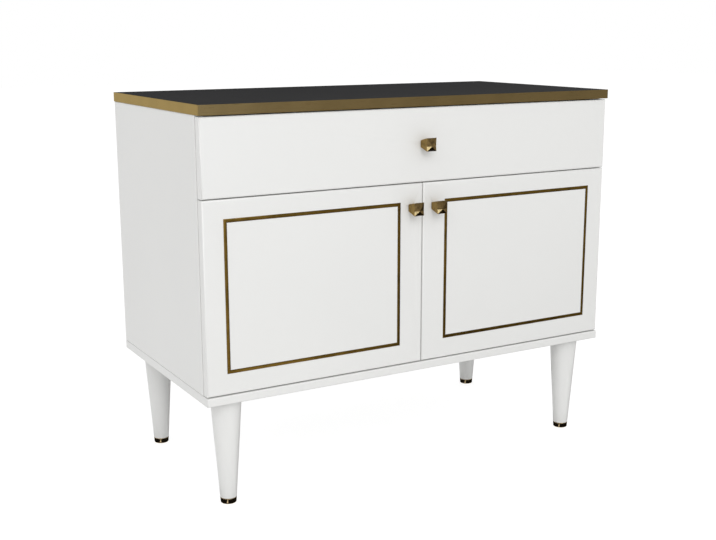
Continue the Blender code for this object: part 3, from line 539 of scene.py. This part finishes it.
def screw_grid(foot, axis, flat=1.0):
    """Pan head with a cross recess, as a polar grid closed under the head. flat scales its height.

    Over the share q of the head's radius the height is h (1 - q^3)^(1/3), less the recess depth
    times a cross mask: one inside two crossing slots, falling to zero over a short ramp.
    """
    sizes = bpy.context.scene.cabinet_screws
    slot_length, slot_width, end_ramp, side_ramp = 0.58, 0.13, 0.12, 0.07
    rings, crowding = 22, 1.6
    share = 1 - np.linspace(1, 0, rings)[:, None] ** crowding
    angle = np.linspace(0, math.tau, sizes.sides, endpoint=False)[None]
    across, along = share * np.cos(angle), share * np.sin(angle)

    def slot(reach, width):
        ends = np.clip((slot_length - np.abs(reach)) / end_ramp, 0, 1)
        return ends * np.clip((slot_width - np.abs(width)) / side_ramp + 0.5, 0, 1)

    cross = np.maximum(slot(across, along), slot(along, across))
    dome = sizes.head_height * (1 - share ** 3).clip(0) ** (1 / 3)
    height = flat * np.maximum(dome - sizes.recess_depth * cross, 0)
    rim = np.stack([across, along, height], axis=-1) * (sizes.head_radius, sizes.head_radius, 1)
    closed = np.concatenate([rim, np.zeros_like(rim[:1])])
    return closed @ axis_turn(axis).T + np.asarray(foot, dtype=float)


def add_screws(name, places, body, flat=1.0):
    """One piece that holds like screw heads. places are (foot, axis)."""
    points, faces = joined_grids([screw_grid(foot, axis, flat) for foot, axis in places])
    mesh = closed_mesh(name, points, faces)
    add_piece(name, mesh, nickel_steel(), body, sharp=math.radians(50))


# Boards, top and drawer

def make_boards():
    """Lacquer on the outside boards, facing on the boards inside."""
    paint(["side_panel_left", "side_panel_right"], white_lacquer())
    paint(["divider_board", "back_panel", "shelf"], white_melamine())
    for node in ("base_board", "drawer_front", "door_left", "door_right"):
        smooth_twin(node, white_lacquer())


def make_top():
    """Black sheet, its board and the gold band."""
    paint(["top_board"], white_melamine())
    paint(["top_sheet"], black_laminate())
    paint(["edge_band_front"], gold_band(0))
    paint(["edge_band_left", "edge_band_right"], gold_band(1))


def make_drawer_box():
    """Faced boards of the drawer box, and the screws that hold the drawer front."""
    paint([f"drawer_{part}" for part in ("box_front", "back", "side_left", "side_right", "bottom")],
          white_melamine())
    height_shares, width_shares = (0.32, 0.74), (0.08, 0.92)
    low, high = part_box("drawer_box_front")
    levels = [low.z + share * (high.z - low.z) for share in height_shares]
    columns = [low.x + share * (high.x - low.x) for share in width_shares]
    places = [((x, high.y, level), (0, 1, 0)) for x in columns for level in levels]
    add_screws("drawer_front_screws", places, "drawer")


# Legs

def make_legs():
    """Turned legs and ferrules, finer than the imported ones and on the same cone."""
    sizes = bpy.context.scene.cabinet_turned
    base_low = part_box("base_board")[0].z
    for row in ROWS:
        for name in SIDES:
            leg_low, leg_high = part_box(f"leg_{row}_{name}")
            cap_low, cap_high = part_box(f"ferrule_{row}_{name}")
            foot = ((cap_low.x + cap_high.x) / 2, (cap_low.y + cap_high.y) / 2, 0.0)
            add_leg(f"{row}_{name}", foot, leg_low, leg_high, cap_low, cap_high, base_low, sizes)


def add_leg(name, foot, leg_low, leg_high, cap_low, cap_high, base_low, sizes):
    """One leg, with its tip in the ferrule, its cone, rounded shoulder and tenon, and its ferrule."""
    tenon = 0.010

    def turned(piece, profile, material, node):
        points, faces = joined_grids([turned_grid(profile, foot, sizes.sides)])
        add_piece(piece, closed_mesh(piece, points, faces), material, "cabinet", (node,))

    cap_radius = (cap_high.x - cap_low.x) / 2
    top_radius = (leg_high.x - leg_low.x) / 2
    slope = (top_radius - cap_radius) / (base_low - TOUCH - cap_high.z)
    sole_radius = cap_radius - slope * cap_high.z
    inside = sole_radius - sizes.ferrule_wall
    tip = inside - TOUCH
    shoulder = cap_high.z + TOUCH
    leg = rounded_profile([
        (0, leg_low.z, 0), (tip, leg_low.z, 0), (tip, shoulder, 0),
        (cap_radius + slope * TOUCH, shoulder, sizes.tip_round),
        (top_radius, base_low - TOUCH, sizes.shoulder_round),
        (tenon, base_low - TOUCH, 0), (tenon, leg_high.z, 0), (0, leg_high.z, 0)])
    turned(f"turned_leg_{name}", leg, white_lacquer(), f"leg_{name}")
    ferrule = rounded_profile([
        (0, cap_low.z, 0), (sole_radius, cap_low.z, sizes.sole_round),
        (cap_radius, cap_high.z, sizes.lip_round), (inside, cap_high.z, sizes.tip_round / 2),
        (inside, leg_low.z - TOUCH, 0), (0, leg_low.z - TOUCH, 0)])
    turned(f"turned_ferrule_{name}", ferrule, polished_bronze(), f"ferrule_{name}")


# Knobs and inlays

def knob_mesh(name, node):
    """Flared knob: a small foot, a face of eight facets and crisp rounded edges.

    Rings of eight points go from the foot to the face. Points at the middle of a side lie a
    valley behind the corners, and the last ring is the point where the facets meet. That point and
    the middles of the upright sides lie a drop below the middle.
    """
    sizes = bpy.context.scene.cabinet_trim
    low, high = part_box(node)
    body_low = low.y + sizes.point
    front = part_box("drawer_front")[0].y
    centre = np.array([(low.x + high.x) / 2, 0, (low.z + high.z) / 2])
    half = np.array([(high.x - low.x) / 2, (high.z - low.z) / 2])
    foot_y = front - TOUCH
    reach = foot_y - body_low
    right = np.array([-1, 0, 1, 1, 1, 0, -1, -1])
    up = np.array([-1, -1, -1, 0, 1, 1, 1, 0])
    valley = np.where(right * up == 0, sizes.valley, 0.0)

    def ring(shrink, y, drop=0.0):
        width = half[0] * (1 - (1 - sizes.foot_width) * shrink)
        height = half[1] * (1 - (1 - sizes.foot_height) * shrink)
        return np.stack([centre[0] + right * width, np.broadcast_to(y, 8),
                         centre[2] + up * height - np.where(up == 0, drop, 0.0)], axis=-1)

    def pole(y, drop=0.0):
        return np.broadcast_to([centre[0], y, centre[2] - drop], (8, 3))

    rings = [pole(foot_y), ring(1.0, foot_y),
             ring(valley / reach, body_low + valley, sizes.point_drop),
             pole(low.y, sizes.point_drop)]
    points, faces = joined_grids([rings])
    return closed_mesh(name, points, faces)


def make_knobs():
    """Three faceted knobs."""
    sizes = bpy.context.scene.cabinet_trim
    for node, body in (("drawer_knob", "drawer"), ("door_knob_left", "left_door"),
                       ("door_knob_right", "right_door")):
        name = f"faceted_{node}"
        obj = add_piece(name, knob_mesh(name, node), antique_brass(), body,
                        (node,), sharp=math.radians(5))
        rounding = obj.modifiers.new("crisp_edges", "BEVEL")
        rounding.width = sizes.facet_round
        rounding.segments = 3
        rounding.limit_method = "ANGLE"
        rounding.angle_limit = math.radians(8)
        rounding.harden_normals = True


def make_inlays():
    """Gold frames with a rounded face, mitred at their corners.

    A section of (distance in, y) is carried round four corners. Its crown is an arch of sines.
    """
    arch_points = 17
    sizes = bpy.context.scene.cabinet_trim
    turn = np.linspace(math.pi, 0, arch_points)
    for name in SIDES:
        low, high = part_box(f"inlay_{name}")
        half = sizes.inlay_width / 2
        crown = low.y + sizes.inlay_crown * (1 - np.sin(turn))
        inward = np.concatenate([[sizes.inlay_width, 0.0], half + half * np.cos(turn)])
        section_y = np.concatenate([[high.y, high.y], crown])
        corner_x = np.array([low.x, high.x, high.x, low.x])[:, None]
        corner_z = np.array([low.z, low.z, high.z, high.z])[:, None]
        to_right = np.array([1, -1, -1, 1])[:, None]
        to_top = np.array([1, 1, -1, -1])[:, None]
        grid = np.stack(np.broadcast_arrays(corner_x + to_right * inward, section_y,
                                            corner_z + to_top * inward), axis=-1)
        points, faces = joined_grids([grid], wrap_rows=True)
        piece = f"gold_frame_{name}"
        add_piece(piece, closed_mesh(piece, points, faces), gold_inlay(),
                  f"{name}_door", (f"inlay_{name}",))


# Slides, hinges and small hardware

def make_slides():
    """Zinc members with smooth bends, their ball cages, and screws in both outside members.

    The screws in the cabinet member are flattened, to clear the ball cage that passes them.
    """
    sheet, distances, flattened = 0.0012, (0.030, 0.175, 0.320), 0.5
    for name, side in SIDES.items():
        for member in ("outer", "middle", "inner"):
            smooth_twin(f"slide_{member}_{name}", zinc_steel())
        for cage in ("outer", "inner"):
            smooth_twin(f"ball_cage_{cage}_{name}", nickel_steel())
        low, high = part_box(f"slide_inner_{name}")
        web = (low.x if side > 0 else high.x) + side * sheet
        level = (low.z + high.z) / 2
        places = [((web, low.y + distance, level), (side, 0, 0)) for distance in distances]
        add_screws(f"slide_screws_{name}", places, "drawer")
        low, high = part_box(f"slide_outer_{name}")
        web = (high.x if side > 0 else low.x) - side * sheet
        places = [((web, low.y + distance, level), (-side, 0, 0)) for distance in distances]
        add_screws(f"slide_board_screws_{name}", places, "cabinet", flat=flattened)


def flange_wing(axis, line, low, high, up):
    """Half of a cup's screw flange, from inside its rim out to two rounded corners.

    Across, x = line + w sin(u) for u from -90 to 90 degrees. Along, it runs from the circle
    sqrt(r^2 - (x - axis)^2) in the rim to an end that drops by c (1 - sqrt(1 - t^2)) in the
    corners, where t is how far x is into the corner. Each x gives a closed loop of four points.
    """
    half_width, corner, sheet, rim_middle, across_points = 0.0075, 0.0025, 0.0010, 0.0008, 17
    share = np.sin(np.linspace(-math.pi / 2, math.pi / 2, across_points))
    x = line + share * half_width
    past = np.clip((np.abs(share) * half_width - half_width + corner) / corner, 0, 1)
    inner = np.sqrt(((high.x - low.x) / 2 - rim_middle) ** 2 - (x - axis) ** 2)
    outer = (high.z - low.z) / 2 - corner * (1 - np.sqrt(1 - past ** 2))
    level = (low.z + high.z) / 2
    front, rear = high.y - CUP_BEAD - sheet, high.y - CUP_BEAD
    sides = [(front, inner), (front, outer), (rear, outer), (rear, inner)]
    loops = np.stack([np.stack(np.broadcast_arrays(x, y, level + up * height), axis=-1)
                      for y, height in sides], axis=1)
    ends = loops[[0, -1]].mean(axis=1, keepdims=True).repeat(4, axis=1)
    return np.concatenate([ends[:1], loops, ends[1:]])


def hinge_cup_mesh(name, node, line):
    """Turned cup with a rounded rim, between the two wings of its screw flange.

    The cup is a profile of (radius, height) carried round its axis: up the outside, over the
    rim and down the inside to the floor.
    """
    low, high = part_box(node)
    wall, rim, sheet, sides = 0.0012, 0.0012, 0.0010, 56
    foot_round, floor_round, mouth_round = 0.0015, 0.0025, 0.0005
    under_round, edge_round = 0.0003, 0.0004
    clear_of_flats = 0.993   # the bore's flats lie nearer to its axis than its corners
    axis, reach, height = (low.x + high.x) / 2, (high.x - low.x) / 2, high.y - low.y
    radius = clear_of_flats * (reach - rim)
    profile = rounded_profile([
        (0, 0, 0), (radius, 0, foot_round), (radius, height - sheet, 0),
        (reach, height - sheet, under_round), (reach, height, edge_round),
        (radius - wall, height, mouth_round), (radius - wall, wall, floor_round), (0, wall, 0)])
    foot = (axis, low.y, (low.z + high.z) / 2)
    grids = [turned_grid(profile, foot, sides, (0, 1, 0))]
    grids += [flange_wing(axis, line, low, high, up) for up in (-1, 1)]
    return closed_mesh(name, *joined_shapes(grids))


def make_hinges():
    """Nickel cups, arms and plates, with their screws."""
    flange_offset, flange_screw, plate_screw = 0.0085, 0.0225, 0.016
    plate_sheet, plate_front, arm_shares = 0.0020, 0.012, (0.50, 0.82)
    for name, side in SIDES.items():
        door_places, board_places = [], []
        for row in HINGES:
            for part in ("arm", "plate"):
                smooth_twin(f"hinge_{part}_{row}_{name}", nickel_steel())
            node = f"hinge_cup_{row}_{name}"
            low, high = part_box(node)
            level = (low.z + high.z) / 2
            line = (low.x + high.x) / 2 - side * flange_offset
            add_piece(f"pressed_{node}", hinge_cup_mesh(f"pressed_{node}", node, line),
                      nickel_steel(), f"{name}_door", (node,))
            for up in (-flange_screw, flange_screw):
                door_places.append(((line, high.y - CUP_BEAD, level + up), (0, 1, 0)))
            low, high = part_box(f"hinge_plate_{row}_{name}")
            face = (high.x if side > 0 else low.x) - side * plate_sheet
            for up in (-plate_screw, plate_screw):
                board_places.append(((face, low.y + plate_front, level + up), (-side, 0, 0)))
            low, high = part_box(f"hinge_arm_{row}_{name}")
            top = low.x if side > 0 else high.x
            for share in arm_shares:
                place = (top, low.y + share * (high.y - low.y), level)
                board_places.append((place, (-side, 0, 0)))
        add_screws(f"hinge_cup_screws_{name}", door_places, f"{name}_door")
        add_screws(f"hinge_board_screws_{name}", board_places, "cabinet")


def make_fittings():
    """Shelf pins, bumpers, and the assembly screws under the base board."""
    for name, side in SIDES.items():
        for row in ROWS:
            smooth_twin(f"shelf_pin_{row}_{name}", nickel_steel())
        smooth_twin(f"bumper_{name}", clear_rubber())
    depth_shares = (0.22, 0.50, 0.78)
    low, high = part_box("base_board")
    side_low, side_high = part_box("side_panel_left")
    board = side_high.x - side_low.x
    places = [((side * (high.x - board / 2), low.y + share * (high.y - low.y), low.z),
               (0, 0, -1)) for side in SIDES.values() for share in depth_shares]
    add_screws("base_screws", places, "cabinet")


# Stage

def seen_directly(tree):
    """One for rays from the camera, off gloss and through clear matter, else zero."""
    path = add_node(tree, "ShaderNodeLightPath")
    total = path.outputs["Is Camera Ray"]
    for name in ("Is Glossy Ray", "Is Transmission Ray"):
        larger = add_node(tree, "ShaderNodeMath", operation="MAXIMUM")
        tree.links.new(total, larger.inputs[0])
        tree.links.new(path.outputs[name], larger.inputs[1])
        total = larger.outputs[0]
    return total


def make_world(settings):
    """Plain light from all round, seen as white."""
    world = bpy.data.worlds.new("white_room")
    bpy.context.scene.world = world
    world.use_nodes = True
    tree = world.node_tree
    light = tree.nodes["Background"]
    light.inputs["Strength"].default_value = settings.ambient
    light.inputs["Color"].default_value = (1.0, 1.0, 1.0, 1.0)
    white = add_node(tree, "ShaderNodeBackground", {"Strength": 1.0, "Color": (1, 1, 1, 1)})
    mix = add_node(tree, "ShaderNodeMixShader")
    tree.links.new(seen_directly(tree), mix.inputs[0])
    tree.links.new(light.outputs[0], mix.inputs[1])
    tree.links.new(white.outputs[0], mix.inputs[2])
    tree.links.new(mix.outputs[0], tree.nodes["World Output"].inputs["Surface"])


def plane_mesh(name, centre, across, up):
    """A flat rectangle from its centre and its two half sides."""
    signs = np.array([(-1, -1), (1, -1), (1, 1), (-1, 1)])
    points = np.asarray(centre) + signs[:, :1] * np.asarray(across) + signs[:, 1:] * np.asarray(up)
    mesh = bpy.data.meshes.new(name)
    mesh.from_pydata(points.tolist(), [], [(0, 1, 2, 3)])
    return mesh


def stage_object(name, mesh, material):
    """Adds something that isn't part of the cabinet."""
    obj = bpy.data.objects.new(name, mesh)
    bpy.context.scene.collection.objects.link(obj)
    mesh.materials.append(material)
    return obj


def make_floor(settings):
    """Pale floor: white to the camera, with the cabinet's soft shadow left in it."""
    bounce_grey, shadow_grey = (0.74, 0.74, 0.74, 1.0), (0.34, 0.34, 0.34, 1.0)
    material = bpy.data.materials.new("pale_floor")
    material.use_nodes = True
    tree = material.node_tree
    tree.nodes.remove(tree.nodes["Principled BSDF"])
    bounce = add_node(tree, "ShaderNodeBsdfDiffuse", {"Color": bounce_grey})
    shadow = add_node(tree, "ShaderNodeBsdfDiffuse", {"Color": shadow_grey})
    glow = add_node(tree, "ShaderNodeEmission", {"Strength": settings.floor_glow})
    seen = add_node(tree, "ShaderNodeAddShader")
    mix = add_node(tree, "ShaderNodeMixShader")
    tree.links.new(shadow.outputs[0], seen.inputs[0])
    tree.links.new(glow.outputs[0], seen.inputs[1])
    tree.links.new(seen_directly(tree), mix.inputs[0])
    tree.links.new(bounce.outputs[0], mix.inputs[1])
    tree.links.new(seen.outputs[0], mix.inputs[2])
    tree.links.new(mix.outputs[0], tree.nodes["Material Output"].inputs["Surface"])
    half = settings.floor_size / 2
    stage_object("floor", plane_mesh("floor", (0, 0, 0), (half, 0, 0), (0, half, 0)), material)


def reflection_card(name, centre, across, up, strength, colour=(1.0, 1.0, 1.0)):
    """A card that only shows in reflections, as bright or dark as its strength.

    across and up are its two half sides.
    """
    material = bpy.data.materials.new(name)
    material.use_nodes = True
    tree = material.node_tree
    tree.nodes.remove(tree.nodes["Principled BSDF"])
    glow = add_node(tree, "ShaderNodeEmission", {"Strength": strength, "Color": (*colour, 1.0)})
    tree.links.new(glow.outputs[0], tree.nodes["Material Output"].inputs["Surface"])
    card = stage_object(name, plane_mesh(name, centre, across, up), material)
    card.visible_camera = False
    card.visible_diffuse = False
    card.visible_transmission = False
    card.visible_shadow = False


def area_lamp(name, place, target, width, height, power):
    """A soft rectangular lamp that faces a target."""
    data = bpy.data.lights.new(name, "AREA")
    data.shape = "RECTANGLE"
    data.size, data.size_y, data.energy = width, height, power
    lamp = bpy.data.objects.new(name, data)
    lamp.location = place
    lamp.rotation_euler = (Vector(target) - Vector(place)).to_track_quat("-Z", "Y").to_euler()
    bpy.context.scene.collection.objects.link(lamp)


def make_camera(settings):
    """Camera at the photograph's place, aimed by yaw, pitch and roll."""
    data = bpy.data.cameras.new("camera")
    data.lens = settings.lens
    camera = bpy.data.objects.new("camera", data)
    aim = (Matrix.Rotation(settings.camera_yaw, 4, "Z")
           @ Matrix.Rotation(math.pi / 2 - settings.camera_pitch, 4, "X")
           @ Matrix.Rotation(settings.camera_roll, 4, "Z"))
    camera.matrix_world = Matrix.Translation(settings.camera_place) @ aim
    bpy.context.scene.collection.objects.link(camera)
    bpy.context.scene.camera = camera


def make_stage():
    """White room with a front lamp, a left lamp and reflection cards."""
    settings = bpy.context.scene.cabinet_stage
    bpy.context.scene.view_settings.view_transform = "Standard"
    make_world(settings)
    make_floor(settings)
    make_camera(settings)
    middle = (0.0, 0.0, 0.45)
    area_lamp("front_lamp", (-1.1, -3.8, 2.6), middle, width=2.6, height=2.2,
              power=settings.key_power)
    area_lamp("left_lamp", (-2.6, -1.6, 2.3), middle, width=1.4, height=1.2,
              power=settings.side_power)
    # Bright card seen only in reflections, no lamp: a painted highlight on the knobs' lower left
    # facets, in a cool colour
    reflection_card("front_highlight_card", (0.28, -3.5, 0.72), (0.20, 0, 0), (0, 0, 0.34),
                    strength=4.8, colour=(0.82, 0.98, 1.30))
    reflection_card("right_shade", (1.53, -2.75, 0.95), (1.47, 1.17, 0), (0, 0, 0.93),
                    strength=0.44)
    reflection_card("floor_shade", (1.30, -1.13, 0.002), (1.10, 0, 0), (0, 0.57, 0),
                    strength=0.02)
    # Grey card on the floor seen only in reflections: a painted reflection that dims the knobs' upper
    # left facets
    reflection_card("floor_grey_reflection", (0.20, -2.70, 0.002), (0.35, 0, 0), (0, 0.85, 0),
                    strength=0.50)
    reflection_card("rear_shade", (2.1, 2.2, 1.3), (2.4, 0, 0), (0, 0, 1.3), strength=0.04)
    for row in ROWS:
        for name in SIDES:
            low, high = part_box(f"ferrule_{row}_{name}")
            foot = Vector(((low.x + high.x) / 2, (low.y + high.y) / 2, 0.0))
            leg_cards(f"{row}_{name}", foot, (high.x - low.x) / 2, settings)


def leg_cards(name, foot, radius, settings):
    """Dark cards on the floor round a leg tip and behind it, and a narrow bright one.

    Along runs over the floor from the leg's axis towards the camera, and across to the camera's
    right.
    """
    dark, bright = 0.01, 1.5
    round_tip, behind, beside = 0.055, 0.80, 0.40
    glint_turn, glint_length, glint_half_width = math.radians(10), 0.02, 0.0015
    tip_height, edge_height, glint_height = 0.0010, 0.0014, 0.0018
    to_camera = Vector(settings.camera_place) - foot
    turn = math.atan2(to_camera.y, to_camera.x)

    def card(kind, angle, along_span, across_span, height, strength):
        along = Vector((math.cos(angle), math.sin(angle), 0.0))
        across = Vector((-along.y, along.x, 0.0))
        middle = along * sum(along_span) / 2 + across * sum(across_span) / 2
        reflection_card(f"{kind}_{name}", foot + middle + Vector((0.0, 0.0, height)),
                        along * (along_span[1] - along_span[0]) / 2,
                        across * (across_span[1] - across_span[0]) / 2, strength)

    card("tip_shade", turn, (-round_tip, round_tip), (-round_tip, round_tip), tip_height, dark)
    card("edge_shade", turn, (-behind, 0.0), (radius / 2, beside), edge_height, dark)
    card("tip_glint", turn - glint_turn, (radius, radius + glint_length),
         (-glint_half_width, glint_half_width), glint_height, bright)


# Operators, panel and registration

class CabinetStep:
    """What every step shares: it shows in the panel and can be undone."""

    bl_options = {"REGISTER", "UNDO"}
    make = None

    def execute(self, context):
        """Makes the step's pieces."""
        type(self).make()
        return {"FINISHED"}


class CABINET_OT_stage(CabinetStep, bpy.types.Operator):
    """Adds the floor, lamps and camera."""

    bl_idname = "cabinet.stage"
    bl_label = "Stage"
    make = staticmethod(make_stage)


class CABINET_OT_boards(CabinetStep, bpy.types.Operator):
    """Finishes the sides, base, doors, drawer front and inner boards."""

    bl_idname = "cabinet.boards"
    bl_label = "Boards"
    make = staticmethod(make_boards)


class CABINET_OT_top(CabinetStep, bpy.types.Operator):
    """Finishes the top board, its black sheet and its gold band."""

    bl_idname = "cabinet.top"
    bl_label = "Top"
    make = staticmethod(make_top)


class CABINET_OT_drawer_box(CabinetStep, bpy.types.Operator):
    """Finishes the drawer box and adds its screws."""

    bl_idname = "cabinet.drawer_box"
    bl_label = "Drawer box"
    make = staticmethod(make_drawer_box)


class CABINET_OT_legs(CabinetStep, bpy.types.Operator):
    """Turns the legs and their ferrules."""

    bl_idname = "cabinet.legs"
    bl_label = "Legs"
    make = staticmethod(make_legs)


class CABINET_OT_knobs(CabinetStep, bpy.types.Operator):
    """Cuts the faceted knobs."""

    bl_idname = "cabinet.knobs"
    bl_label = "Knobs"
    make = staticmethod(make_knobs)


class CABINET_OT_inlays(CabinetStep, bpy.types.Operator):
    """Lays the gold frames in the doors."""

    bl_idname = "cabinet.inlays"
    bl_label = "Inlays"
    make = staticmethod(make_inlays)


class CABINET_OT_slides(CabinetStep, bpy.types.Operator):
    """Finishes the drawer slides and adds their screws."""

    bl_idname = "cabinet.slides"
    bl_label = "Slides"
    make = staticmethod(make_slides)


class CABINET_OT_hinges(CabinetStep, bpy.types.Operator):
    """Finishes the hinges and adds their screws."""

    bl_idname = "cabinet.hinges"
    bl_label = "Hinges"
    make = staticmethod(make_hinges)


class CABINET_OT_fittings(CabinetStep, bpy.types.Operator):
    """Finishes the shelf pins and bumpers and adds the base screws."""

    bl_idname = "cabinet.fittings"
    bl_label = "Fittings"
    make = staticmethod(make_fittings)


STEPS = (CABINET_OT_boards, CABINET_OT_top, CABINET_OT_drawer_box, CABINET_OT_legs,
         CABINET_OT_knobs, CABINET_OT_inlays, CABINET_OT_slides, CABINET_OT_hinges,
         CABINET_OT_fittings, CABINET_OT_stage)


class CABINET_PT_finishes(bpy.types.Panel):
    """Lists the sizes, colours and steps."""

    bl_label = "Low cabinet"
    bl_idname = "CABINET_PT_finishes"
    bl_space_type = "VIEW_3D"
    bl_region_type = "UI"
    bl_category = "Cabinet"

    def draw(self, context):
        """Draws each group of properties, then a button for each step."""
        for name, group in GROUPS.items():
            box = self.layout.box()
            for key in group.__annotations__:
                box.prop(getattr(context.scene, name), key)
        for step in STEPS:
            self.layout.operator(step.bl_idname)


CLASSES = (*GROUPS.values(), *STEPS, CABINET_PT_finishes)


def register():
    """Registers the classes and hangs the property groups on the scene."""
    for item in CLASSES:
        bpy.utils.register_class(item)
    for name, group in GROUPS.items():
        setattr(bpy.types.Scene, name, PointerProperty(type=group))


def unregister():
    """Takes away what register added."""
    for name in GROUPS:
        delattr(bpy.types.Scene, name)
    for item in reversed(CLASSES):
        bpy.utils.unregister_class(item)


def main():
    """Dresses the cabinet."""
    register()
    for step in STEPS:
        group, name = step.bl_idname.split(".")
        getattr(getattr(bpy.ops, group), name)()


if __name__ == "__main__":
    main()
